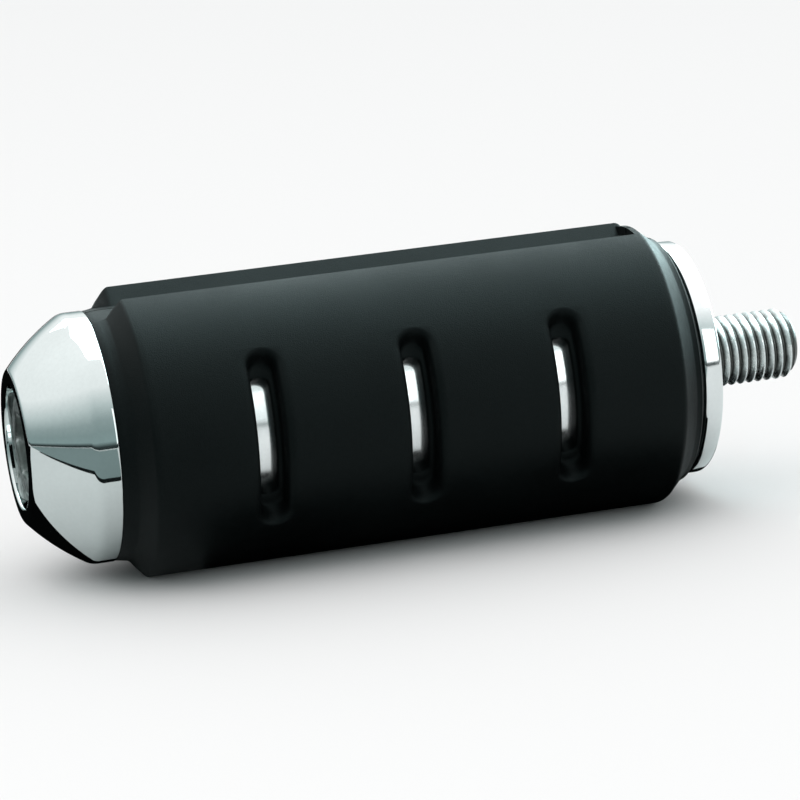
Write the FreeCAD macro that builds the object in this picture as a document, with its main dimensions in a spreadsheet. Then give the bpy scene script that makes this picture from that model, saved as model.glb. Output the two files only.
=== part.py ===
"""A round foot peg for a motorcycle's lever: a chrome core between a domed end cap and an
inner flange, two moulded rubber pads round the core, and one long socket head bolt through
it all, whose threaded end screws into the lever.

Millimetres. Every piece is drawn with x counted from the end cap's outer face and is then
moved back by the peg's length, so the part's origin is the centre of the flange's seat face,
+X runs out along the bolt's thread and +Z is up. The pads are centred on -Y and +Y.
"""
import FreeCAD, Part
import math
import os
import Sketcher

# Driving dimensions, in millimetres and degrees.
SIZES = {
    "peg_length": 76.2,
    "peg_radius": 15.875,
    "core_radius": 11.9,
    "core_bore_radius": 9.0,
    "rib_width": 6.0,
    "rib_radius": 12.4,
    "bolt_hole_radius": 4.05,
    "hub_length": 7.0,
    "cap_length": 8.84,
    "cap_radius": 13.65,
    "cap_band_length": 2.34,
    "cap_dome_radius": 24.5,
    "cap_rim_radius": 7.95,
    "cap_rim_round": 0.3,
    "cap_bore_radius": 6.75,
    "flange_thickness": 2.2,
    "flange_radius": 13.1,
    "flange_round": 0.45,
    "head_recess": 0.7,
    "head_height": 7.94,
    "head_radius": 5.95,
    "head_round": 0.6,
    "hex_flats": 6.35,
    "hex_depth": 4.0,
    "shank_radius": 3.6,
    "thread_radius": 3.97,
    "thread_chamfer": 0.8,
    "stud_length": 12.7,
    "washer_thickness": 2.0,
    "washer_radius": 5.85,
    "washer_turn": 352.0,
    "seat_gap": 0.05,
    "pad_turn": 150.0,
    "pad_end_gap": 0.4,
    "collar_radius": 13.6,
    "collar_length": 1.66,
    "shoulder_length": 1.72,
    "shoulder_round": 0.62,
    "shoulder_drop": 0.42,
    "tail_radius": 13.8,
    "tail_length": 0.8,
    "tail_shoulder_length": 2.2,
    "web_turn": 179.0,
    "web_bore_radius": 12.9,
    "bevel_turn": 167.0,
    "web_radius": 15.4,
    "slot_spacing": 16.72,
    "slot_width": 2.1,
    "slot_length": 11.0,
    "recess_width": 3.4,
    "recess_length": 17.0,
    "recess_floor": 13.4,
}

ORIGIN_POINT = (-1, 1)
X_AXIS = FreeCAD.Vector(1, 0, 0)
UP = FreeCAD.Vector(0, 0, 1)

doc = FreeCAD.newDocument("foot_peg")
sheet = doc.addObject("Spreadsheet::Sheet", "Sizes")
for row, (alias, number) in enumerate(SIZES.items(), start=1):
    sheet.set(f"A{row}", alias)
    sheet.set(f"B{row}", str(number))
    sheet.setAlias(f"B{row}", alias)
doc.recompute()


def amount(words):
    """The number that a sum of sizes comes to, such as "cap_length + hub_length"."""
    result = 0.0
    sign = 1
    for word in words.split():
        if word in ("+", "-"):
            sign = 1 if word == "+" else -1
        else:
            result += sign * SIZES[word]
    return result


def formula(words):
    """The same sum as an expression on the spreadsheet."""
    return " ".join(word if word in ("+", "-") else "Sizes." + word for word in words.split())


def new_body(name):
    """An empty body, named after its piece and moved so that x = 0 is the seat face."""
    body = doc.addObject("PartDesign::Body", name)
    body.Label = name
    body.setExpression(".Placement.Base.x", "-Sizes.peg_length")
    return body


def attach(feature, body, plane_role, offset=""):
    """Puts a sketch or primitive on one of its body's own planes, moved along its normal."""
    plane = [item for item in body.Origin.OriginFeatures if item.Role == plane_role][0]
    feature.AttachmentSupport = [(plane, "")]
    feature.MapMode = "FlatFace"
    if offset:
        feature.setExpression(".AttachmentOffset.Base.z", offset)


def bind(sketch, kind, places, words, share=1):
    """Adds a dimension that follows the spreadsheet, or a share of it."""
    index = sketch.addConstraint(Sketcher.Constraint(kind, *places, amount(words) / share))
    sketch.setExpression(f"Constraints[{index}]", f"({formula(words)}) / {share}")


def round_edge(start, end, radius):
    """The arc from start to end, anticlockwise, whose centre lies on the left."""
    half = (end - start) * 0.5
    left = UP.cross(half).normalize()
    centre = start + half + left * math.sqrt(radius**2 - half.Length**2)
    first = math.atan2(start.y - centre.y, start.x - centre.x)
    last = math.atan2(end.y - centre.y, end.x - centre.x)
    if last < first:
        last += 2 * math.pi
    return Part.ArcOfCircle(Part.Circle(centre, UP, radius), first, last)


def outline(body, name, corners):
    """A closed profile for a turned piece, drawn anticlockwise on the plane of x and radius.

    A corner is (x, radius) in size names; a third name is the radius of the arc that
    leaves it for the next corner.
    """
    sketch = body.newObject("Sketcher::SketchObject", name)
    attach(sketch, body, "XY_Plane")
    points = [FreeCAD.Vector(amount(corner[0]), amount(corner[1]), 0) for corner in corners]
    for index, corner in enumerate(corners):
        start = points[index]
        end = points[(index + 1) % len(points)]
        if len(corner) == 3:
            sketch.addGeometry(round_edge(start, end, amount(corner[2])), False)
        else:
            sketch.addGeometry(Part.LineSegment(start, end), False)
    for index, corner in enumerate(corners):
        following = (index + 1) % len(corners)
        sketch.addConstraint(Sketcher.Constraint("Coincident", index, 2, following, 1))
        if corner[0]:
            bind(sketch, "DistanceX", (*ORIGIN_POINT, index, 1), corner[0])
        else:
            sketch.addConstraint(Sketcher.Constraint("PointOnObject", index, 1, -2))
        if corner[1]:
            bind(sketch, "DistanceY", (*ORIGIN_POINT, index, 1), corner[1])
        else:
            sketch.addConstraint(Sketcher.Constraint("PointOnObject", index, 1, -1))
        if len(corner) == 3:
            bind(sketch, "Radius", (index,), corner[2])
    return sketch


def turn(body, name, corners, angle=""):
    """Turns a profile about the x axis: all the way, or by angle, half to each side of +Y."""
    sketch = outline(body, name + "_profile", corners)
    feature = body.newObject("PartDesign::Revolution", name)
    feature.Profile = sketch
    feature.ReferenceAxis = (sketch, ["H_Axis"])
    if angle:
        feature.Midplane = True
        feature.setExpression("Angle", angle)
    else:
        feature.Angle = 360
    return feature


def long_hole(body, name, width, length, offset=""):
    """Cuts a round-ended hole, long in Z, out through the pad at its first slot's place."""
    sketch = body.newObject("Sketcher::SketchObject", name + "_outline")
    attach(sketch, body, "XZ_Plane", offset)
    middle = (amount("cap_length + peg_length - pad_end_gap - flange_thickness")) / 2
    x = middle - SIZES["slot_spacing"]
    radius = SIZES[width] / 2
    reach = SIZES[length] / 2 - radius
    top = FreeCAD.Vector(x, reach, 0)
    foot = FreeCAD.Vector(x, -reach, 0)
    side = X_AXIS * radius
    sketch.addGeometry(Part.ArcOfCircle(Part.Circle(top, UP, radius), 0, math.pi), False)
    sketch.addGeometry(Part.LineSegment(top - side, foot - side), False)
    sketch.addGeometry(Part.ArcOfCircle(Part.Circle(foot, UP, radius), math.pi, 2 * math.pi), False)
    sketch.addGeometry(Part.LineSegment(foot + side, top + side), False)
    for edge in range(4):
        ends = (edge, 2, (edge + 1) % 4, 1)
        sketch.addConstraint(Sketcher.Constraint("Tangent", *ends))
    sketch.addConstraint(Sketcher.Constraint("Vertical", 1))
    sketch.addConstraint(Sketcher.Constraint("Symmetric", 0, 3, 2, 3, -1))
    bind(sketch, "Radius", (0,), width, share=2)
    bind(sketch, "DistanceY", (2, 3, 0, 3), f"{length} - {width}")
    place = sketch.addConstraint(Sketcher.Constraint("DistanceX", *ORIGIN_POINT, 0, 3, x))
    pad_ends = "Sizes.cap_length + Sizes.peg_length - Sizes.pad_end_gap - Sizes.flange_thickness"
    sketch.setExpression(f"Constraints[{place}]", f"({pad_ends}) / 2 - Sizes.slot_spacing")
    pocket = body.newObject("PartDesign::Pocket", name)
    pocket.Profile = sketch
    pocket.Type = "ThroughAll"
    return pocket


def long_bevels(body, name, start, end):
    """Fills the corners between the pad's crown and its thin edges, above and below."""
    sketch = body.newObject("Sketcher::SketchObject", name + "_outline")
    attach(sketch, body, "YZ_Plane", formula(start))
    corners = [
        ("peg_radius", "pad_turn"),
        ("collar_radius", "bevel_turn"),
        ("web_bore_radius", "pad_turn"),
    ]
    for side in (1, -1):
        points = []
        for radius, turned in corners:
            half = math.radians(SIZES[turned] / 2)
            points.append(FreeCAD.Vector(math.cos(half), side * math.sin(half), 0) * SIZES[radius])
        first = len(sketch.Geometry)
        for index in range(3):
            sketch.addGeometry(Part.LineSegment(points[index], points[(index + 1) % 3]), False)
        for index, (radius, turned) in enumerate(corners):
            corner = (first + index, 1)
            following = (first + (index + 1) % 3, 1)
            sketch.addConstraint(Sketcher.Constraint("Coincident", first + index, 2, *following))
            upright = (*ORIGIN_POINT, *corner) if side == 1 else (*corner, *ORIGIN_POINT)
            across = Sketcher.Constraint("DistanceX", *ORIGIN_POINT, *corner, points[index].x)
            height = Sketcher.Constraint("DistanceY", *upright, abs(points[index].y))
            for constraint, function in ((across, "cos"), (height, "sin")):
                number = sketch.addConstraint(constraint)
                rule = f"Sizes.{radius} * {function}(Sizes.{turned} / 2)"
                sketch.setExpression(f"Constraints[{number}]", rule)
    bevels = body.newObject("PartDesign::Pad", name)
    bevels.Profile = sketch
    bevels.setExpression("Length", f"({formula(end)}) - ({formula(start)})")


def make_end_cap():
    """The domed cap: a counterbore for the bolt's head, and a hub that centres it in the core."""
    body = new_body("end_cap")
    floor = "head_recess + head_height + washer_thickness + seat_gap"
    hub_end = "cap_length + hub_length"
    corners = [
        (floor, "bolt_hole_radius"),
        (hub_end, "bolt_hole_radius"),
        (hub_end, "core_bore_radius"),
        ("cap_length", "core_bore_radius"),
        ("cap_length", "cap_radius"),
        ("cap_length - cap_band_length", "cap_radius", "cap_dome_radius"),
        ("cap_rim_round", "cap_rim_radius + cap_rim_round", "cap_rim_round"),
        ("", "cap_rim_radius"),
        ("", "cap_bore_radius"),
        (floor, "cap_bore_radius"),
    ]
    turn(body, "cap_shape", corners)
    return body


def make_core_sleeve():
    """The tube between cap and flange, with a rib along each gap that keeps the pads in place."""
    body = new_body("core_sleeve")
    length = "Sizes.peg_length - Sizes.cap_length - Sizes.flange_thickness"
    tube = body.newObject("PartDesign::AdditiveCylinder", "tube_outside")
    attach(tube, body, "YZ_Plane", "Sizes.cap_length")
    tube.setExpression("Radius", "Sizes.core_radius")
    tube.setExpression("Height", length)
    ribs = body.newObject("PartDesign::AdditiveBox", "ribs")
    attach(ribs, body, "YZ_Plane", "Sizes.cap_length")
    ribs.setExpression("Length", "Sizes.rib_width")
    ribs.setExpression("Width", "2 * Sizes.rib_radius")
    ribs.setExpression("Height", length)
    ribs.setExpression(".AttachmentOffset.Base.x", "-Sizes.rib_width / 2")
    ribs.setExpression(".AttachmentOffset.Base.y", "-Sizes.rib_radius")
    bore = body.newObject("PartDesign::SubtractiveCylinder", "tube_bore")
    attach(bore, body, "YZ_Plane", "Sizes.cap_length")
    bore.setExpression("Radius", "Sizes.core_bore_radius")
    bore.setExpression("Height", length)
    return body


def make_inner_flange():
    """The chrome collar that seats on the lever, with its own hub in the core."""
    body = new_body("inner_flange")
    near_face = "peg_length - flange_thickness"
    hub_start = "peg_length - flange_thickness - hub_length"
    corners = [
        (hub_start, "bolt_hole_radius"),
        ("peg_length", "bolt_hole_radius"),
        ("peg_length", "flange_radius - flange_round", "flange_round"),
        ("peg_length - flange_round", "flange_radius"),
        (near_face + " + flange_round", "flange_radius", "flange_round"),
        (near_face, "flange_radius - flange_round"),
        (near_face, "core_bore_radius"),
        (hub_start, "core_bore_radius"),
    ]
    turn(body, "flange_shape", corners)
    return body


def make_pad(name, roll):
    """One rubber half shell: collar, shoulders, and three stepped slots down to the core.

    Its thin edges reach over the core's ribs, nearly to the other pad, with a higher web at
    the flange end. Bevels lead down to them from the crown's long edges.
    """
    body = new_body(name)
    body.Placement = FreeCAD.Placement(body.Placement.Base, FreeCAD.Rotation(X_AXIS, roll))
    body.setExpression(".Placement.Base.x", "-Sizes.peg_length")
    tail = "peg_length - flange_thickness - pad_end_gap"
    crown_end = tail + " - tail_length - tail_shoulder_length"
    collar_end = "cap_length + collar_length"
    crown_start = collar_end + " + shoulder_length"
    corners = [
        ("cap_length", "core_radius"),
        (tail, "core_radius"),
        (tail, "tail_radius"),
        (tail + " - tail_length", "tail_radius"),
        (crown_end + " + shoulder_round", "peg_radius - shoulder_drop", "shoulder_length"),
        (crown_end, "peg_radius"),
        (crown_start, "peg_radius", "shoulder_length"),
        (crown_start + " - shoulder_round", "peg_radius - shoulder_drop"),
        (collar_end, "collar_radius"),
        ("cap_length", "collar_radius"),
    ]
    turn(body, name + "_shell", corners, angle="Sizes.pad_turn")
    edge_corners = [
        ("cap_length", "web_bore_radius"),
        (tail, "web_bore_radius"),
        (tail, "collar_radius"),
        ("cap_length", "collar_radius"),
    ]
    turn(body, name + "_edges", edge_corners, angle="Sizes.web_turn")
    web_corners = [
        (crown_end, "web_bore_radius"),
        (tail, "web_bore_radius"),
        (tail, "tail_radius"),
        (tail + " - tail_length", "tail_radius"),
        (crown_end, "web_radius"),
    ]
    turn(body, name + "_web", web_corners, angle="Sizes.web_turn")
    long_bevels(body, name + "_bevels", crown_start, crown_end)
    doc.recompute()
    recess = long_hole(body, name + "_recess", "recess_width", "recess_length", "-Sizes.recess_floor")
    slot = long_hole(body, name + "_slot", "slot_width", "slot_length")
    doc.recompute()
    slots = body.newObject("PartDesign::LinearPattern", name + "_slots")
    slots.Originals = [recess, slot]
    slots.Direction = (recess.Profile[0], ["H_Axis"])
    slots.setExpression("Length", "2 * Sizes.slot_spacing")
    slots.Occurrences = 3
    body.Tip = slots
    return body


def make_mounting_bolt():
    """The socket head bolt. Its thread is a plain cylinder at the thread's outer diameter."""
    body = new_body("mounting_bolt")
    head_end = "head_recess + head_height"
    tip = "peg_length + stud_length"
    corners = [
        ("head_recess", ""),
        (tip, ""),
        (tip, "thread_radius - thread_chamfer"),
        (tip + " - thread_chamfer", "thread_radius"),
        ("peg_length", "thread_radius"),
        ("peg_length", "shank_radius"),
        (head_end, "shank_radius"),
        (head_end, "head_radius"),
        ("head_recess + head_round", "head_radius", "head_round"),
        ("head_recess", "head_radius - head_round"),
    ]
    turn(body, "bolt_shape", corners)
    socket = body.newObject("PartDesign::SubtractivePrism", "hex_socket")
    attach(socket, body, "YZ_Plane", "Sizes.head_recess")
    socket.Polygon = 6
    socket.setExpression("Circumradius", "Sizes.hex_flats / sqrt(3)")
    socket.setExpression("Height", "Sizes.hex_depth")
    return body


def make_lock_washer():
    """The split spring washer that the bolt's head presses on, shown closed."""
    body = new_body("lock_washer")
    near = "head_recess + head_height + seat_gap"
    far = near + " + washer_thickness"
    corners = [
        (near, "bolt_hole_radius"),
        (far, "bolt_hole_radius"),
        (far, "washer_radius"),
        (near, "washer_radius"),
    ]
    turn(body, "washer_shape", corners, angle="Sizes.washer_turn")
    return body


def check(pieces):
    """Stops the build if anything failed, or a cut took nothing away."""
    for item in doc.Objects:
        if "Invalid" in item.State or "Error" in item.State:
            raise RuntimeError(f"{item.Label} failed: {item.State}")
    for item in doc.Objects:
        if item.TypeId == "PartDesign::Pocket" and item.Shape.Volume >= item.BaseFeature.Shape.Volume - 1:
            raise RuntimeError(f"{item.Label} cuts nothing")
    for piece in pieces:
        if piece.Shape.isNull() or not piece.Shape.isValid() or len(piece.Shape.Solids) != 1:
            raise RuntimeError(f"{piece.Label} has no sound solid")


pieces = [
    make_end_cap(),
    make_core_sleeve(),
    make_inner_flange(),
    make_pad("front_pad", 180),
    make_pad("rear_pad", 0),
    make_mounting_bolt(),
    make_lock_washer(),
]
doc.recompute()
check(pieces)

os.makedirs("parts", exist_ok=True)
for piece in pieces:
    piece.Shape.exportStep(f"parts/{piece.Label}.step")
    box = piece.Shape.optimalBoundingBox(False, False)
    print(f"{piece.Label}: x {box.XMin:.2f} to {box.XMax:.2f}, y {box.YMin:.2f} to {box.YMax:.2f}, "
          f"z {box.ZMin:.2f} to {box.ZMax:.2f}, {piece.Shape.Volume:.0f} mm3")
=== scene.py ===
"""The looks of a motorcycle foot peg: polished chrome cap, core and flange, satin moulded
rubber pads with stepped slots, and a zinc-plated socket head bolt with a real thread.

Metres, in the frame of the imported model: the origin is the centre of the flange's seat face,
+X runs out along the thread, +Z is up, and the pads are centred on -Y and +Y.
"""

import math

import bmesh
import bpy
from mathutils import Matrix, Vector


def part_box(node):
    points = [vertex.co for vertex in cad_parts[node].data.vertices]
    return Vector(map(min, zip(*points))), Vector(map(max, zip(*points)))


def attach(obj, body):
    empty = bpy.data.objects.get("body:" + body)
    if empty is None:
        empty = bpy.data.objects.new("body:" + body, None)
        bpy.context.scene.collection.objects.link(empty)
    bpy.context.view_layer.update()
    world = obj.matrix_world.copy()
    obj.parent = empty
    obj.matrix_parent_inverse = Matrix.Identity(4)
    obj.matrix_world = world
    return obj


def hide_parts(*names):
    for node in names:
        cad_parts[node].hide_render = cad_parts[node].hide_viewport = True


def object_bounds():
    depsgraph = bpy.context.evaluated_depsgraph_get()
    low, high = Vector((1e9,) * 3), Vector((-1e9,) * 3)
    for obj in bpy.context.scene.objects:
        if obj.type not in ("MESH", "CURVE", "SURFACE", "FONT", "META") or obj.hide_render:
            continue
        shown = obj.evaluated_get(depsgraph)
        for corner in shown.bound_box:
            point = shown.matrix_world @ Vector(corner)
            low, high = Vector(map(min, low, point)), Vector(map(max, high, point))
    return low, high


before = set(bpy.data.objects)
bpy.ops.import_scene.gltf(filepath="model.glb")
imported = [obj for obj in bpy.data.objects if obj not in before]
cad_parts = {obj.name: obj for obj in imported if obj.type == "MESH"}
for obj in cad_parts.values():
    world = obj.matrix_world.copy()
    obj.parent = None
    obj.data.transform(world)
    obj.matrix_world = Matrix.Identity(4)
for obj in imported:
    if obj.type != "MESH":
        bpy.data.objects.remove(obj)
cad_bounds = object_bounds()

MM = 0.001
X_AXIS = Vector((1, 0, 0))
CENTRE = Vector((0, 0, 0))
MERGE = 0.002 * MM
FULL_TURN = 2 * math.pi
TURN_STEPS = 192
PAD_STEPS = 104
ANGLE_SLACK = 0.001


# ---------------------------------------------------------------- sizes, from the frame

class Sizes:
    """The piece sizes that the looks share, in metres."""

    cap_low, cap_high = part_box("end_cap")
    core_low, core_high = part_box("core_sleeve")
    flange_low, flange_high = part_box("inner_flange")
    pad_low, pad_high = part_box("front_pad")
    bolt_low, bolt_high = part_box("mounting_bolt")
    washer_low, washer_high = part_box("lock_washer")

    face = cap_low.x
    cap_radius = cap_high.z
    cap_back = core_low.x
    hub_end = cap_high.x
    pad_radius = -pad_low.y
    core_radius = core_high.y
    rib_radius = core_high.z
    flange_near = core_high.x
    flange_radius = flange_high.z
    pad_start = pad_low.x
    pad_end = pad_high.x
    head_face = bolt_low.x
    head_end = washer_low.x - 0.05 * MM
    head_radius = bolt_high.z
    stud_tip = bolt_high.x
    head_room = washer_high.x

    tube_bore = 9.0 * MM
    bolt_hole = 4.05 * MM
    cap_bore = 6.75 * MM
    rib_width = 6.0 * MM
    pad_half_turn = math.radians(75)
    edge_half_turn = math.radians(89.5)
    edge_radius = 13.72 * MM
    edge_bore = 12.9 * MM
    web_radius = 15.4 * MM
    slot_spacing = 16.72 * MM
    hex_half_flats = 3.175 * MM
    hex_depth = 4.0 * MM
    shank_radius = 3.6 * MM
    shank_end = -4.5 * MM
    thread_start = -6.0 * MM
    thread_radius = 3.97 * MM
    thread_pitch = 25.4 * MM / 24


# ---------------------------------------------------------------- mesh tools

def spin_profile(corners, closed=True, angle=FULL_TURN, steps=TURN_STEPS):
    """A mesh turned about the x axis from (x, radius) corners, starting at +Y."""
    mesh = bmesh.new()
    points = [mesh.verts.new((x, radius, 0)) for x, radius in corners]
    pairs = list(zip(points, points[1:]))
    if closed:
        pairs.append((points[-1], points[0]))
    lines = [mesh.edges.new(pair) for pair in pairs]
    bmesh.ops.spin(
        mesh, geom=points + lines, cent=CENTRE, axis=X_AXIS, dvec=CENTRE, angle=angle, steps=steps,
        use_merge=angle == FULL_TURN, use_normal_flip=False, use_duplicate=False,
    )
    return mesh


def radius_of(vertex):
    return math.hypot(vertex.co.y, vertex.co.z)


def round_rings(mesh, rings):
    """Rounds the circular edges that lie at each (x, radius, size of round)."""
    for x, radius, size in rings:
        ring = [
            edge for edge in mesh.edges
            if all(abs(v.co.x - x) < MERGE and abs(radius_of(v) - radius) < MERGE for v in edge.verts)
        ]
        bmesh.ops.bevel(
            mesh, geom=ring, affect="EDGES", offset=size, offset_type="OFFSET",
            segments=5, profile=0.5, material=-1, clamp_overlap=True,
        )


def bow(start, end, radius, count):
    """Points along a convex arc between two (x, radius) corners, without its ends."""
    a = Vector(start)
    b = Vector(end)
    half = (b - a) / 2
    side = Vector((-half.y, half.x)).normalized()
    centre = a + half - side * math.sqrt(radius ** 2 - half.length_squared)
    first = math.atan2(a.y - centre.y, a.x - centre.x)
    last = math.atan2(b.y - centre.y, b.x - centre.x)
    angles = [first + (last - first) * step / count for step in range(1, count)]
    return [(centre.x + radius * math.cos(t), centre.y + radius * math.sin(t)) for t in angles]


def ring_at(mesh, x, radius_at, steps):
    """The first ring of a stacked mesh: its edges, in a plane square to the x axis."""
    turn = Matrix.Rotation(math.radians(90), 4, "Y")
    made = bmesh.ops.create_circle(mesh, cap_ends=False, segments=steps, radius=1.0, matrix=turn)
    place_ring(made["verts"], x, radius_at)
    return [edge for edge in mesh.edges if edge.verts[0] in made["verts"]]


def place_ring(points, x, radius_at):
    """Moves a ring's points to x, each at the radius that its own angle gives."""
    for point in points:
        angle = math.atan2(point.co.z, point.co.y)
        radius = radius_at(angle)
        point.co = (x, radius * math.cos(angle), radius * math.sin(angle))


def stack_ring(mesh, edges, x, radius_at):
    """Extrudes a ring on to its next place and returns the new ring's edges."""
    grown = bmesh.ops.extrude_edge_only(mesh, edges=edges)["geom"]
    points = [item for item in grown if isinstance(item, bmesh.types.BMVert)]
    place_ring(points, x, radius_at)
    new_points = set(points)
    return [e for e in grown if isinstance(e, bmesh.types.BMEdge) and set(e.verts) <= new_points]


def turn_about_x(mesh, angle):
    """Turns a whole mesh about the x axis."""
    bmesh.ops.transform(mesh, matrix=Matrix.Rotation(angle, 4, "X"), verts=mesh.verts)


def join_mesh(mesh, other):
    """Adds another mesh's geometry to a mesh, and frees the other."""
    scratch = bpy.data.meshes.new("scratch")
    other.to_mesh(scratch)
    other.free()
    mesh.from_mesh(scratch)
    bpy.data.meshes.remove(scratch)


def new_object(name, mesh, material):
    """Turns a mesh into an object in the scene, with one material."""
    data = bpy.data.meshes.new(name)
    mesh.to_mesh(data)
    mesh.free()
    data.materials.append(material)
    made = bpy.data.objects.new(name, data)
    bpy.context.scene.collection.objects.link(made)
    return made


def finish_piece(name, mesh, material, body, nodes, sharp=32):
    """Turns a mesh into a piece that rides on its body and stands for its CAD nodes.

    Edges that turn by more than sharp degrees are shaded as creases.
    """
    bmesh.ops.remove_doubles(mesh, verts=mesh.verts, dist=MERGE)
    bmesh.ops.dissolve_degenerate(mesh, dist=MERGE / 4, edges=mesh.edges)
    bmesh.ops.recalc_face_normals(mesh, faces=mesh.faces)
    piece = new_object(name, mesh, material)
    piece.data.shade_smooth()
    piece.data.set_sharp_from_angle(angle=math.radians(sharp))
    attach(piece, body)
    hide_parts(*nodes)
    return piece


# ---------------------------------------------------------------- shader tools

def new_group(name, inputs, outputs):
    """A shader node group with float or vector inputs {name: default} and typed outputs."""
    group = bpy.data.node_groups.new(name, "ShaderNodeTree")
    for label, default in inputs.items():
        kind = "NodeSocketVector" if isinstance(default, tuple) else "NodeSocketFloat"
        socket = group.interface.new_socket(label, in_out="INPUT", socket_type=kind)
        socket.default_value = default
    for label, kind in outputs.items():
        group.interface.new_socket(label, in_out="OUTPUT", socket_type=kind)
    start = group.nodes.new("NodeGroupInput")
    end = group.nodes.new("NodeGroupOutput")
    return group, start, end


def feed(tree, socket, value):
    """Gives a socket a plain number, or links it to another socket."""
    if isinstance(value, (int, float)):
        socket.default_value = value
    else:
        tree.links.new(value, socket)


def math_node(tree, operation, first, second=0.0):
    """A Math node whose inputs are sockets or plain numbers; returns its output."""
    node = tree.nodes.new("ShaderNodeMath")
    node.operation = operation
    feed(tree, node.inputs[0], first)
    feed(tree, node.inputs[1], second)
    return node.outputs[0]


def noise(tree, place, scale, detail=3.0, roughness=0.5):
    """A 3-D noise read at a place socket; returns its value from 0 to 1."""
    node = tree.nodes.new("ShaderNodeTexNoise")
    tree.links.new(place, node.inputs["Vector"])
    feed(tree, node.inputs["Scale"], scale)
    node.inputs["Detail"].default_value = detail
    node.inputs["Roughness"].default_value = roughness
    return node.outputs["Fac"]


def remap(tree, value, low, high, to_low, to_high):
    """Spreads value, low to high, over to_low to to_high, clamped."""
    node = tree.nodes.new("ShaderNodeMapRange")
    labels = ("Value", "From Min", "From Max", "To Min", "To Max")
    for label, number in zip(labels, (value, low, high, to_low, to_high)):
        feed(tree, node.inputs[label], number)
    return node.outputs["Result"]


def mix_colours(tree, factor, first, second):
    """Mixes two colours, each a socket or a plain (r, g, b)."""
    node = tree.nodes.new("ShaderNodeMix")
    node.data_type = "RGBA"
    tree.links.new(factor, node.inputs["Factor"])
    for label, colour in (("A", first), ("B", second)):
        socket = [s for s in node.inputs if s.name == label and s.type == "RGBA"][0]
        if isinstance(colour, tuple):
            socket.default_value = (*colour, 1.0)
        else:
            tree.links.new(colour, socket)
    return [s for s in node.outputs if s.type == "RGBA"][0]


def make_mottle_group():
    """Slow and fine variation together: a roughness between Low and High, and a mask."""
    group, start, end = new_group(
        "mottle",
        {"Place": (0.0, 0.0, 0.0), "Broad Scale": 60.0, "Fine Scale": 900.0, "Low": 0.05, "High": 0.1},
        {"Roughness": "NodeSocketFloat", "Mask": "NodeSocketFloat"},
    )
    broad_share = 0.65
    broad = noise(group, start.outputs["Place"], start.outputs["Broad Scale"], detail=4)
    fine = noise(group, start.outputs["Place"], start.outputs["Fine Scale"], detail=2)
    broad_part = math_node(group, "MULTIPLY", broad, broad_share)
    fine_part = math_node(group, "MULTIPLY", fine, 1 - broad_share)
    both = math_node(group, "ADD", broad_part, fine_part)
    mask = remap(group, both, 0.35, 0.65, 0.0, 1.0)
    rough = remap(group, mask, 0.0, 1.0, start.outputs["Low"], start.outputs["High"])
    group.links.new(rough, end.inputs["Roughness"])
    group.links.new(mask, end.inputs["Mask"])
    return group


def make_depth_group():
    """How deep a point lies below an outer radius about the x axis: 0 at Top, 1 at Bottom."""
    group, start, end = new_group(
        "depth_from_axis",
        {"Place": (0.0, 0.0, 0.0), "Top": 0.01, "Bottom": 0.009},
        {"Depth": "NodeSocketFloat"},
    )
    parts = group.nodes.new("ShaderNodeSeparateXYZ")
    group.links.new(start.outputs["Place"], parts.inputs[0])
    across = math_node(group, "MULTIPLY", parts.outputs["Y"], parts.outputs["Y"])
    height = math_node(group, "MULTIPLY", parts.outputs["Z"], parts.outputs["Z"])
    radius = math_node(group, "SQRT", math_node(group, "ADD", across, height))
    depth = remap(group, radius, start.outputs["Top"], start.outputs["Bottom"], 0.0, 1.0)
    group.links.new(depth, end.inputs["Depth"])
    return group


MOTTLE = make_mottle_group()
DEPTH = make_depth_group()


def new_material(name):
    """An empty Principled material: its tree, shader and Object coordinate socket."""
    material = bpy.data.materials.new(name)
    material.use_nodes = True
    tree = material.node_tree
    tree.nodes.clear()
    shader = tree.nodes.new("ShaderNodeBsdfPrincipled")
    output = tree.nodes.new("ShaderNodeOutputMaterial")
    tree.links.new(shader.outputs[0], output.inputs["Surface"])
    place = tree.nodes.new("ShaderNodeTexCoord").outputs["Object"]
    return material, tree, shader, place


def use_group(tree, group, place, **values):
    """Places a shared group, feeds it the coordinates and sets its plain inputs."""
    node = tree.nodes.new("ShaderNodeGroup")
    node.node_tree = group
    tree.links.new(place, node.inputs["Place"])
    for label, value in values.items():
        node.inputs[label.replace("_", " ")].default_value = value
    return node


def add_bump(tree, shader, height, strength, distance):
    """Feeds a height socket to the shader's normal."""
    bump = tree.nodes.new("ShaderNodeBump")
    bump.inputs["Strength"].default_value = strength
    bump.inputs["Distance"].default_value = distance
    tree.links.new(height, bump.inputs["Height"])
    tree.links.new(bump.outputs["Normal"], shader.inputs["Normal"])


def polished_chrome(name, tint=(0.66, 0.7, 0.695), low=0.018, high=0.05):
    """Bright plate: mirror smooth, with faint haze, buffing ripple and a cool tint."""
    material, tree, shader, place = new_material(name)
    shader.inputs["Metallic"].default_value = 1.0
    mottle = use_group(tree, MOTTLE, place, Broad_Scale=140.0, Fine_Scale=2200.0, Low=low, High=high)
    tree.links.new(mottle.outputs["Roughness"], shader.inputs["Roughness"])
    haze = tuple(channel * 0.93 for channel in tint)
    colour = mix_colours(tree, mottle.outputs["Mask"], tint, haze)
    tree.links.new(colour, shader.inputs["Base Color"])
    ripple = noise(tree, place, 210.0, detail=1)
    add_bump(tree, shader, ripple, 0.12, 0.06 * MM)
    return material


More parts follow.
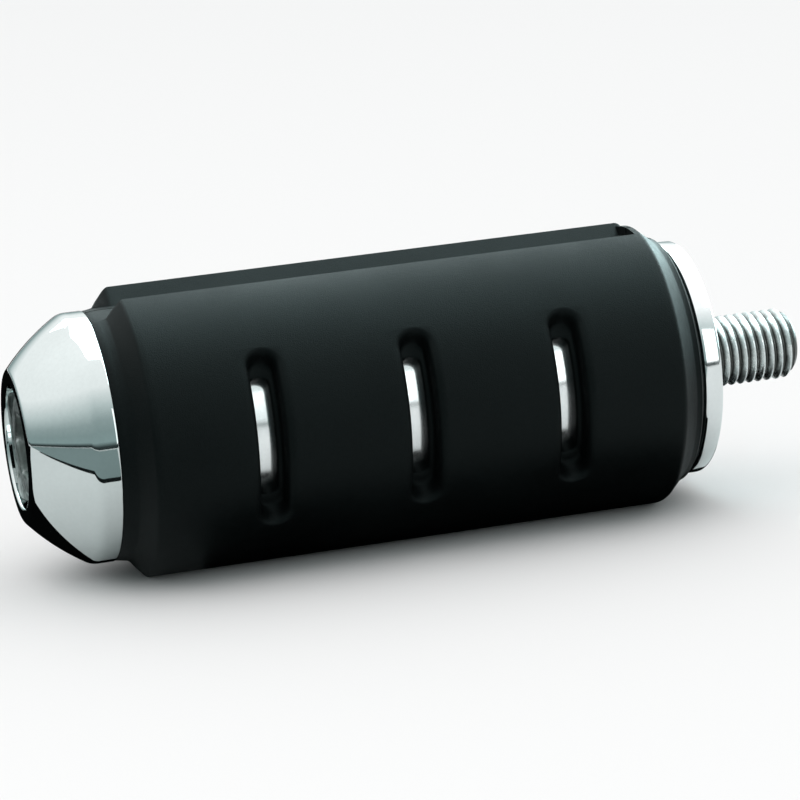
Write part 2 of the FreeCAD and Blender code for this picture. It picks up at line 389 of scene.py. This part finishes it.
def moulded_rubber():
    """Satin black rubber with a fine stipple and a greyer bloom on its skin."""
    material, tree, shader, place = new_material("moulded_rubber")
    mottle = use_group(tree, MOTTLE, place, Broad_Scale=90.0, Fine_Scale=3200.0, Low=0.38, High=0.52)
    tree.links.new(mottle.outputs["Roughness"], shader.inputs["Roughness"])
    black = (0.0015, 0.0021, 0.0022)
    bloom = (0.003, 0.004, 0.0041)
    skin = mix_colours(tree, mottle.outputs["Mask"], black, bloom)
    tree.links.new(skin, shader.inputs["Base Color"])
    shader.inputs["Specular IOR Level"].default_value = 0.11
    shader.inputs["Specular Tint"].default_value = (0.82, 1.0, 1.0, 1.0)
    grain = noise(tree, place, 8500.0, detail=2, roughness=0.6)
    add_bump(tree, shader, grain, 0.7, 0.05 * MM)
    return material


def zinc_steel():
    """Dull zinc plate: bright thread crests, painted shade darkening the thread roots and hex socket,
    random dark specks, and a grimy, rougher head.
    """
    material, tree, shader, place = new_material("zinc_steel")
    shader.inputs["Metallic"].default_value = 1.0
    bright = (0.86, 0.89, 0.885)
    worn = (0.62, 0.65, 0.645)
    shade_and_speck_colour = (0.06, 0.062, 0.058)
    grime_colour = (0.15, 0.18, 0.17)
    crest = Sizes.thread_radius - 0.12 * MM
    foot = Sizes.thread_radius - 0.62 * MM
    # Painted shade: the colour darkens with depth below the crests, in the thread roots and the hex
    # socket; the mottle adds random dark specks.
    depth = use_group(tree, DEPTH, place, Top=crest, Bottom=foot)
    mottle = use_group(tree, MOTTLE, place, Broad_Scale=420.0, Fine_Scale=3600.0, Low=0.2, High=0.38)
    specks = math_node(tree, "MULTIPLY", mottle.outputs["Mask"], 0.35)
    root_shade_and_specks = math_node(tree, "ADD", depth.outputs["Depth"], specks)
    shade = remap(tree, root_shade_and_specks, 0.25, 1.1, 0.0, 0.95)
    plated = mix_colours(tree, mottle.outputs["Mask"], bright, worn)
    thread = mix_colours(tree, shade, plated, shade_and_speck_colour)
    along = tree.nodes.new("ShaderNodeSeparateXYZ")
    tree.links.new(place, along.inputs[0])
    # 0 along the thread and shank, 1 at the head.
    head = remap(tree, along.outputs["X"], -50 * MM, -60 * MM, 0.0, 1.0)
    blotches = noise(tree, place, 1500.0, detail=4, roughness=0.65)
    grime = remap(tree, blotches, 0.42, 0.62, 0.45, 0.9)
    dull = math_node(tree, "MULTIPLY", head, grime)
    colour = mix_colours(tree, dull, thread, grime_colour)
    tree.links.new(colour, shader.inputs["Base Color"])
    head_rough = math_node(tree, "MULTIPLY", head, 0.25)
    rough = math_node(tree, "ADD", mottle.outputs["Roughness"], head_rough)
    tree.links.new(rough, shader.inputs["Roughness"])
    pits = noise(tree, place, 2600.0, detail=3)
    add_bump(tree, shader, pits, 0.3, 0.05 * MM)
    return material


def spring_steel():
    """Plain dark spring steel with a fine drawn grain."""
    material, tree, shader, place = new_material("spring_steel")
    shader.inputs["Metallic"].default_value = 1.0
    mottle = use_group(tree, MOTTLE, place, Broad_Scale=500.0, Fine_Scale=4000.0, Low=0.3, High=0.5)
    tree.links.new(mottle.outputs["Roughness"], shader.inputs["Roughness"])
    colour = mix_colours(tree, mottle.outputs["Mask"], (0.34, 0.34, 0.35), (0.22, 0.22, 0.225))
    tree.links.new(colour, shader.inputs["Base Color"])
    return material


# ---------------------------------------------------------------- pieces

def make_end_cap(material):
    """The domed cap: flat rim, convex dome, short band, counterbore and hub."""
    s = Sizes
    rim_width = 1.45 * MM
    band_length = 2.34 * MM
    dome_radius = 24.5 * MM
    dome_steps = 14

    rim = s.face
    rim_radius = s.cap_bore + rim_width
    crease = s.cap_back - band_length
    dome = bow((rim, rim_radius), (crease, s.cap_radius), dome_radius, dome_steps)
    corners = [(rim, s.cap_bore), (rim, rim_radius), *dome, (crease, s.cap_radius)]
    # Two rings on the band keep its reflections level between the rounded edges.
    corners += [(crease + 0.7 * MM, s.cap_radius), (s.cap_back - 0.3 * MM, s.cap_radius)]
    corners += [(s.cap_back, s.cap_radius), (s.cap_back, s.tube_bore), (s.hub_end, s.tube_bore)]
    corners += [(s.hub_end, s.bolt_hole), (s.head_room, s.bolt_hole), (s.head_room, s.cap_bore)]
    mesh = spin_profile(corners)
    rounds = [
        (rim, s.cap_bore, 0.32 * MM),
        (rim, rim_radius, 0.3 * MM),
        (crease, s.cap_radius, 0.5 * MM),
        (s.cap_back, s.cap_radius, 0.15 * MM),
    ]
    round_rings(mesh, rounds)
    return finish_piece("end_cap_chrome", mesh, material, "peg", ["end_cap"], sharp=40)


def make_core_sleeve(material):
    """The chrome tube under the pads, with its two ribs."""
    s = Sizes
    corners = [(s.cap_back, s.tube_bore), (s.cap_back, s.core_radius)]
    corners += [(s.flange_near, s.core_radius), (s.flange_near, s.tube_bore)]
    mesh = spin_profile(corners)
    sunk = 1.0 * MM
    length = s.flange_near - s.cap_back
    foot = s.core_radius - sunk
    for side in (1, -1):
        rib = bmesh.ops.create_cube(mesh, size=1.0)["verts"]
        bmesh.ops.scale(mesh, vec=(length, s.rib_width, s.rib_radius - foot), verts=rib)
        middle = Vector(((s.cap_back + s.flange_near) / 2, 0, side * (s.rib_radius + foot) / 2))
        bmesh.ops.translate(mesh, vec=middle, verts=rib)
        ridge = [
            edge for edge in mesh.edges
            if all(v in rib and abs(abs(v.co.z) - s.rib_radius) < MERGE for v in edge.verts)
            and abs(edge.verts[0].co.x - edge.verts[1].co.x) > length / 2
        ]
        bmesh.ops.bevel(
            mesh, geom=ridge, affect="EDGES", offset=0.5 * MM, segments=4, profile=0.5, material=-1,
        )
    return finish_piece("core_sleeve_chrome", mesh, material, "peg", ["core_sleeve"])


def make_inner_flange(material):
    """The polished collar that seats on the lever, with its hub."""
    s = Sizes
    hub_start = s.flange_low.x
    corners = [(0.0, s.bolt_hole), (0.0, s.flange_radius), (s.flange_near, s.flange_radius)]
    corners += [(s.flange_near, s.tube_bore), (hub_start, s.tube_bore), (hub_start, s.bolt_hole)]
    mesh = spin_profile(corners)
    rounds = [
        (0.0, s.flange_radius, 0.45 * MM),
        (s.flange_near, s.flange_radius, 0.4 * MM),
        (0.0, s.bolt_hole, 0.2 * MM),
    ]
    round_rings(mesh, rounds)
    return finish_piece(
        "inner_flange_chrome", mesh, material, "peg", ["inner_flange"], sharp=40,
    )


def tail_line():
    """The pad's outside line at the flange end: crown, slope and tail rim."""
    s = Sizes
    right = s.pad_end
    rim = 13.9 * MM
    crown_end = (right - 3.15 * MM, s.pad_radius)
    slope_start = (right - 2.5 * MM, s.pad_radius - 0.32 * MM)
    line = [crown_end, *bow(crown_end, slope_start, 0.9 * MM, 5), slope_start]
    line += [(right - 0.95 * MM, rim + 0.16 * MM), (right - 0.75 * MM, rim)]
    line += [(right - 0.2 * MM, rim - 0.1 * MM), (right, rim - 0.35 * MM)]
    return line


def pad_profile():
    """The pad's outside line from cap to flange, as (x, radius): collar, crown and tail."""
    s = Sizes
    collar = 13.6 * MM
    left = s.pad_start
    line = [
        (left, collar - 0.15 * MM),
        (left + 0.15 * MM, collar),
        (left + 0.8 * MM, collar + 0.08 * MM),
        (left + 1.5 * MM, collar + 0.2 * MM),
        (left + 1.72 * MM, collar + 0.36 * MM),
        (left + 2.3 * MM, s.pad_radius - 1.14 * MM),
        (left + 3.05 * MM, s.pad_radius - 0.3 * MM),
    ]
    crown_start = (left + 3.5 * MM, s.pad_radius)
    line += [*bow(line[-1], crown_start, 0.72 * MM, 5), crown_start]
    tail = tail_line()
    count = 84
    span = (tail[0][0] - crown_start[0]) / count
    line += [(crown_start[0] + span * step, s.pad_radius) for step in range(1, count)]
    return line + tail


# The slot's wall from the skin down to the core: half width and shift along the pad in mm,
# half angle in degrees, and radius in mm.
SLOT_WALL = [
    (2.5, 0.35, 37.6, 15.875),
    (2.17, 0.35, 37.1, 15.84),
    (1.86, 0.34, 36.6, 15.72),
    (1.64, 0.32, 36.1, 15.5),
    (1.5, 0.32, 35.6, 15.15),
    (1.43, 0.32, 35.1, 14.6),
    (1.39, 0.32, 34.5, 13.9),
    (1.34, 0.29, 33.6, 13.68),
    (1.24, 0.2, 31.6, 13.56),
    (1.13, 0.09, 29.2, 13.5),
    (1.09, 0.04, 28.3, 13.38),
    (1.06, 0.01, 27.9, 13.1),
    (1.04, 0.0, 27.5, 11.9),
]
SLOT_ROLL = math.radians(-1.3)


def rounded_place(fraction, half_width, half_length):
    """The point a fraction of the way round a long hole with round ends, from its right side."""
    straight = half_length - half_width
    bend = math.pi * half_width
    way = fraction * (4 * straight + 2 * bend)
    if way < straight:
        return half_width, way
    way -= straight
    if way < bend:
        angle = way / half_width
        return half_width * math.cos(angle), straight + half_width * math.sin(angle)
    way -= bend
    if way < 2 * straight:
        return -half_width, straight - way
    way -= 2 * straight
    if way < bend:
        angle = math.pi + way / half_width
        return half_width * math.cos(angle), -straight + half_width * math.sin(angle)
    return half_width, way - bend - straight


def place_loop(points, centre_x, wall):
    """Puts a hole's ordered points on one line of the slot's wall."""
    half_width, shift, half_angle, radius = wall
    half_width *= MM
    radius *= MM
    half_length = math.radians(half_angle) * Sizes.pad_radius
    for index, point in enumerate(points):
        across, along = rounded_place(index / len(points), half_width, half_length)
        angle = along / Sizes.pad_radius + SLOT_ROLL
        x = centre_x + across + shift * MM
        point.co = (x, radius * math.cos(angle), radius * math.sin(angle))


def ordered_loop(edges):
    """A hole's edge points in order, from the middle of its right side towards +Z."""
    neighbours = {}
    for edge in edges:
        first, second = edge.verts
        neighbours.setdefault(first, []).append(second)
        neighbours.setdefault(second, []).append(first)
    right = max(v.co.x for v in neighbours)
    start = min((v for v in neighbours if right - v.co.x < MERGE), key=lambda v: abs(v.co.z))
    loop = [start, max(neighbours[start], key=lambda v: v.co.z)]
    while len(loop) < len(neighbours):
        loop.append([v for v in neighbours[loop[-1]] if v is not loop[-2]][0])
    return loop


def cut_slot(mesh, centre_x, walls):
    """Opens a slot in a sheet and grows its wall through the given lines.

    Every sheet loses the same faces, so that the skin's and the lining's holes can be joined.
    """
    half_width = SLOT_WALL[0][0] * MM
    half_angle = math.radians(SLOT_WALL[0][2])
    hole = []
    for face in mesh.faces:
        middle = face.calc_center_median()
        near = abs(middle.x - centre_x) < half_width
        if near and abs(math.atan2(middle.z, middle.y)) < half_angle:
            hole.append(face)
    inside = {edge for face in hole for edge in face.edges}
    rim = [edge for edge in inside if not all(face in hole for face in edge.link_faces)]
    bmesh.ops.delete(mesh, geom=hole, context="FACES")
    loop = ordered_loop(rim)
    place_loop(loop, centre_x, walls[0])
    for wall in walls[1:]:
        edges = [mesh.edges.get((a, b)) for a, b in zip(loop, loop[1:] + loop[:1])]
        grown = bmesh.ops.extrude_edge_only(mesh, edges=edges)["geom"]
        fresh = {item for item in grown if isinstance(item, bmesh.types.BMVert)}
        loop = [[e.other_vert(v) for e in v.link_edges if e.other_vert(v) in fresh][0] for v in loop]
        place_loop(loop, centre_x, wall)


def carry_border(mesh, border, stage):
    """Extrudes the pad's border one stage on, moving only the points on its two long sides.

    Stage 0 is the bevel down from the crown, 1 the thin edge over the core's rib, 2 its end,
    and 3 the way back under it.
    """
    s = Sizes
    grown = bmesh.ops.extrude_edge_only(mesh, edges=border)["geom"]
    points = {item for item in grown if isinstance(item, bmesh.types.BMVert)}
    for point in points:
        angle = math.atan2(point.co.z, point.co.y)
        if abs(angle) < s.pad_half_turn - ANGLE_SLACK:
            continue
        radius = min(radius_of(point), s.edge_radius)
        turned = s.edge_half_turn
        if stage == 0:
            turned = s.pad_half_turn + (radius_of(point) - radius) / s.pad_radius
        if stage >= 2:
            radius = s.edge_bore
        if stage == 3:
            turned = s.pad_half_turn
        turned = math.copysign(turned, angle)
        point.co = (point.co.x, radius * math.cos(turned), radius * math.sin(turned))
    return [e for e in grown if isinstance(e, bmesh.types.BMEdge) and set(e.verts) <= points]


def slotted_sheet(walls):
    """The pad's outside as a sheet, centred on +Y, with three slots that follow the given lines."""
    s = Sizes
    middle = (s.pad_start + s.pad_end) / 2
    sheet = spin_profile(pad_profile(), closed=False, angle=2 * s.pad_half_turn, steps=PAD_STEPS)
    turn_about_x(sheet, -s.pad_half_turn)
    for step in (-1, 0, 1):
        cut_slot(sheet, middle + step * s.slot_spacing, walls)
    return sheet


def make_pad(name, node, material, half_turns):
    """A pad: its skin with three slots, its long edges, its lining on the core, and its webs."""
    border_floor = 12.5 * MM
    mesh = slotted_sheet(SLOT_WALL)
    border = [
        edge for edge in mesh.edges
        if edge.is_boundary and max(radius_of(v) for v in edge.verts) > border_floor
    ]
    for stage in range(4):
        border = carry_border(mesh, border, stage)
    grown = bmesh.ops.extrude_edge_only(mesh, edges=border)["geom"]
    place_on_core([item for item in grown if isinstance(item, bmesh.types.BMVert)])

    lining = slotted_sheet(SLOT_WALL[-1:])
    place_on_core(lining.verts)
    join_mesh(mesh, lining)
    for side in (1, -1):
        add_web(mesh, side)

    turn_about_x(mesh, math.pi * half_turns)
    return finish_piece(name, mesh, material, "peg", [node], sharp=38)


def add_web(mesh, side):
    """Adds the low web at the flange end, which reaches over the core's rib to the other pad.

    It starts inside the pad and stops a hair short of the thin edge's end.
    """
    s = Sizes
    start = math.radians(74.5)
    reach = math.radians(14.95)
    tail = [(x, min(radius, s.web_radius)) for x, radius in tail_line()]
    corners = [(tail[0][0], s.edge_bore), *tail, (s.pad_end, s.edge_bore)]
    web = spin_profile(corners, angle=side * reach, steps=12)
    turn_about_x(web, side * start)
    bmesh.ops.holes_fill(web, edges=[edge for edge in web.edges if edge.is_boundary], sides=0)
    join_mesh(mesh, web)


def place_on_core(points):
    """Drops points straight down on to the core's surface."""
    for point in points:
        share = Sizes.core_radius / radius_of(point)
        point.co.y *= share
        point.co.z *= share


def grow_thread(mesh):
    """The rolled thread: one pitch of its outline spun along a helix, then chamfered."""
    s = Sizes
    steps = 72
    depth_share = 0.6134
    chamfer_length = 1.3 * MM
    chamfer_depth = 1.05 * MM
    chamfer_bow = 1.6

    pitch = s.thread_pitch
    crest = s.thread_radius
    root = crest - depth_share * pitch
    turns = math.ceil((s.stud_tip - s.thread_start) / pitch) + 1
    # The outline as (share of the pitch, radius): crest, flank, rounded root, flank, crest.
    outline = [
        (0.0, crest), (0.125, crest), (0.16, crest - 0.03 * MM), (0.44, root + 0.06 * MM),
        (0.5, root), (0.62, root), (0.68, root + 0.06 * MM), (0.965, crest - 0.03 * MM), (1.0, crest),
    ]
    points = [mesh.verts.new((s.thread_start + share * pitch, radius, 0)) for share, radius in outline]
    lines = [mesh.edges.new(pair) for pair in zip(points, points[1:])]
    bmesh.ops.spin(
        mesh, geom=points + lines, cent=CENTRE, axis=X_AXIS, dvec=X_AXIS * (pitch / steps),
        angle=FULL_TURN * turns, steps=steps * turns, use_merge=False, use_duplicate=False,
    )
    bmesh.ops.remove_doubles(mesh, verts=mesh.verts, dist=MERGE)
    for end, outward in ((s.stud_tip, X_AXIS), (s.thread_start + pitch, -X_AXIS)):
        bmesh.ops.bisect_plane(
            mesh, geom=mesh.verts[:] + mesh.edges[:] + mesh.faces[:], dist=MERGE / 10,
            plane_co=X_AXIS * end, plane_no=outward, clear_outer=True,
        )
    for point in mesh.verts:
        ease = max(0.0, point.co.x - (s.stud_tip - chamfer_length)) / chamfer_length
        limit = crest - chamfer_depth * ease ** chamfer_bow
        share = min(1.0, limit / radius_of(point))
        point.co.y *= share
        point.co.z *= share
    bmesh.ops.holes_fill(mesh, edges=[edge for edge in mesh.edges if edge.is_boundary], sides=0)


def make_mounting_bolt(material):
    """The bolt: a knurled head with a hex socket, a plain shank and the thread."""
    s = Sizes
    steps = 144
    knurl = 0.11 * MM

    def plain(radius):
        return lambda angle: radius

    def hexagon(wider):
        sixth = FULL_TURN / 6
        return lambda angle: s.hex_half_flats / math.cos((angle % sixth) - sixth / 2) + wider

    def knurled(angle):
        return s.head_radius - (knurl if round(angle / FULL_TURN * steps) % 2 else 0.0)

    socket_floor = s.head_face + s.hex_depth
    socket_tip = socket_floor + 0.9 * MM
    # From the socket's floor, out over the head and on to the end of the shank.
    rings = [
        (socket_floor, hexagon(0.0)),
        (s.head_face + 0.35 * MM, hexagon(0.0)),
        (s.head_face + 0.08 * MM, hexagon(0.14 * MM)),
        (s.head_face, hexagon(0.3 * MM)),
        (s.head_face, plain(s.head_radius - 0.95 * MM)),
        (s.head_face + 0.12 * MM, plain(s.head_radius - 0.5 * MM)),
        (s.head_face + 0.45 * MM, plain(s.head_radius - 0.16 * MM)),
        (s.head_face + 0.75 * MM, plain(s.head_radius - knurl)),
        (s.head_face + 1.1 * MM, knurled),
        (s.head_end - 0.7 * MM, knurled),
        (s.head_end - 0.4 * MM, plain(s.head_radius - knurl)),
        (s.head_end, plain(s.head_radius - 0.35 * MM)),
        (s.head_end, plain(s.shank_radius + 0.1 * MM)),
        (s.head_end + 0.4 * MM, plain(s.shank_radius)),
        (s.shank_end, plain(s.shank_radius)),
    ]
    mesh = bmesh.new()
    grow_thread(mesh)
    ring = ring_at(mesh, socket_tip, plain(0.05 * MM), steps)
    bmesh.ops.holes_fill(mesh, edges=ring, sides=0)
    for x, radius_at in rings:
        ring = stack_ring(mesh, ring, x, radius_at)
    bmesh.ops.holes_fill(mesh, edges=ring, sides=0)
    return finish_piece(
        "mounting_bolt_steel", mesh, material, "bolt", ["mounting_bolt"], sharp=38,
    )


# ---------------------------------------------------------------- studio

def add_light(name, place, aim, size, power, colour=(1.0, 1.0, 1.0)):
    """A soft rectangular lamp that faces a point."""
    data = bpy.data.lights.new(name, "AREA")
    data.shape = "RECTANGLE"
    data.size, data.size_y = size
    data.energy = power
    data.color = colour
    lamp = bpy.data.objects.new(name, data)
    bpy.context.scene.collection.objects.link(lamp)
    lamp.location = place
    lamp.rotation_euler = (Vector(aim) - Vector(place)).to_track_quat("-Z", "Y").to_euler()
    return lamp


# The floor as two sheets, one that the camera sees and one that lights and mirrors in the peg:
# name, base colour, depth below the pads in mm, and whether the camera sees it.
FLOORS = [
    ("seen_floor", (0.822, 0.797, 0.797), 0.05, True),
    ("lit_floor", (0.69, 0.705, 0.705), 0.06, False),
]
PEG_BASE = cad_bounds[0][2]


def matt_material(name, colour, roughness):
    """A plain material with no shine, for the studio's sheets."""
    material, _, shader, _ = new_material(name)
    shader.inputs["Base Color"].default_value = (*colour, 1.0)
    shader.inputs["Roughness"].default_value = roughness
    shader.inputs["Specular IOR Level"].default_value = 0.0
    return material


def make_floor():
    """A wide pale floor under the pads' lowest edges, whiter to the camera than to the peg."""
    for name, colour, depth, seen in FLOORS:
        mesh = bmesh.new()
        bmesh.ops.create_grid(mesh, x_segments=1, y_segments=1, size=4.0)
        bmesh.ops.translate(mesh, vec=(0, 0, PEG_BASE - depth * MM), verts=mesh.verts)
        floor = new_object(name, mesh, matt_material(name, colour, 0.9))
        floor.visible_camera = seen
        floor.visible_diffuse = not seen
        floor.visible_glossy = not seen
        floor.visible_shadow = not seen


# Painted reflections: sheets on the floor that only reflections see, dark where the floor around the
# peg lies in shade and grey in front of the cap: name, how pale, and corners (x, y) in mm.
PAINTED_REFLECTIONS = [
    ("back_shade_reflection", 0.002, [(-800, -2), (10, -2), (10, 600), (-800, 600)]),
    ("under_shadow_reflection", 0.002, [(-58, -21), (0, -21), (0, -2), (-58, -2)]),
    ("edge_line_reflection", 0.01, [(-300, -41), (-56, -41), (-57, -36), (-300, -36)]),
    ("front_shade_reflection", 0.26, [(-2000, -1000), (140, -1000), (-56, -41), (-2000, -41)]),
]


def make_painted_reflections():
    """Painted reflections of shade: dark sheets behind, under and beside the peg, and a grey one in
    front of the cap, seen only in mirror reflections.
    """
    red_share = 0.78
    height = PEG_BASE + 0.02 * MM
    for name, pale, corners in PAINTED_REFLECTIONS:
        mesh = bmesh.new()
        points = [mesh.verts.new((x * MM, y * MM, height)) for x, y in corners]
        bmesh.ops.contextual_create(mesh, geom=points)
        bmesh.ops.recalc_face_normals(mesh, faces=mesh.faces)
        colour = (red_share * pale, pale, pale)
        painted_sheet = new_object(name, mesh, matt_material(name, colour, 1.0))
        painted_sheet.visible_camera = False
        painted_sheet.visible_diffuse = False
        painted_sheet.visible_shadow = False


# The room's brightness by height: sine of the height, level, and red's share of green and blue.
ROOM = [
    (0.0, 0.04, 0.7),
    (0.012, 0.05, 0.7),
    (0.035, 0.42, 0.74),
    (0.09, 0.4, 0.76),
    (0.17, 0.47, 0.8),
    (0.3, 0.78, 0.88),
    (0.52, 1.2, 0.97),
    (1.0, 1.32, 0.98),
]
ROOM_STRENGTH = 1.35
BACK_LIFT = 0.7


def make_surroundings():
    """A soft room: a thin dark line at the horizon, cool grey above, white overhead and behind."""
    world = bpy.data.worlds.new("studio")
    bpy.context.scene.world = world
    world.use_nodes = True
    tree = world.node_tree
    background = tree.nodes["Background"]
    height = tree.nodes.new("ShaderNodeSeparateXYZ")
    tree.links.new(tree.nodes.new("ShaderNodeTexCoord").outputs["Generated"], height.inputs[0])
    ramp = tree.nodes.new("ShaderNodeValToRGB")
    lift = math_node(tree, "ADD", math_node(tree, "MULTIPLY", height.outputs["Y"], BACK_LIFT), 1.0)
    reach = math_node(tree, "MULTIPLY", height.outputs["Z"], lift)
    tree.links.new(reach, ramp.inputs["Fac"])
    stops = ramp.color_ramp.elements
    stops[1].position = 1.0
    for position, level, red in ROOM:
        share = level / ROOM_STRENGTH
        stop = stops[0] if position == 0 else stops[-1] if position == 1 else stops.new(position)
        stop.color = (share * red, share, share, 1)
    tree.links.new(ramp.outputs["Color"], background.inputs["Color"])
    background.inputs["Strength"].default_value = ROOM_STRENGTH


def make_lights():
    """A key above left and a fill in front, then three lamps that only add sheen."""
    aim = (-0.035, 0, 0)
    key = add_light("key_softbox", (-0.4, -0.1, 0.6), aim, (0.5, 0.4), 0.6)
    key.visible_glossy = False
    add_light("front_softbox", (0.475, -0.9, 0.35), (0.475, 0, 0.35), (0.65, 0.59), 1.6)
    cool = (0.74, 1.0, 1.02)
    sheen = [
        add_light("top_strip", (0.11, 0.12, 0.56), aim, (1.0, 0.35), 4.0, cool),
        add_light("back_strip", (0.16, 0.52, 0.42), aim, (1.0, 0.2), 1.7, cool),
        add_light("right_softbox", (0.58, 0.42, 0.16), aim, (0.8, 0.4), 6.5, cool),
    ]
    for lamp in sheen:
        lamp.visible_diffuse = False


def make_camera():
    """A long lens, looking down and along the peg from the cap's side, leaning a little."""
    heading = math.radians(14.87)
    pitch = math.radians(12.58)
    lean = math.radians(4.48)
    target = Vector((-34.31, -4.21, 0.37)) * MM
    distance = 399.7 * MM

    data = bpy.data.cameras.new("camera")
    data.lens = 164.84
    data.sensor_width = 36.0
    camera = bpy.data.objects.new("camera", data)
    bpy.context.scene.collection.objects.link(camera)
    forward = Vector((
        math.sin(heading) * math.cos(pitch), math.cos(heading) * math.cos(pitch), -math.sin(pitch),
    ))
    level_right = forward.cross(Vector((0, 0, 1))).normalized()
    level_up = level_right.cross(forward)
    up = level_up * math.cos(lean) + level_right * math.sin(lean)
    right = forward.cross(up)
    turn = Matrix((right, up, -forward)).transposed()
    camera.matrix_world = Matrix.Translation(target - forward * distance) @ turn.to_4x4()
    bpy.context.scene.camera = camera


make_camera()
make_surroundings()
make_lights()
make_floor()
make_painted_reflections()

# The cap, core and flange are one chrome plate; their tints differ as painted light, the core's and
# the flange's painted brighter and the cap's darker.
make_end_cap(polished_chrome("cap_chrome"))
make_core_sleeve(polished_chrome("core_chrome", (0.95, 0.965, 0.965), 0.14, 0.2))
make_inner_flange(polished_chrome("flange_chrome", (0.84, 0.86, 0.86), 0.06, 0.11))
rubber = moulded_rubber()
make_pad("rear_pad_rubber", "rear_pad", rubber, 0)
make_pad("front_pad_rubber", "front_pad", rubber, 1)
make_mounting_bolt(zinc_steel())
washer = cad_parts["lock_washer"]
washer.data.materials.clear()
washer.data.materials.append(spring_steel())

bpy.context.scene.view_settings.view_transform = "Standard"
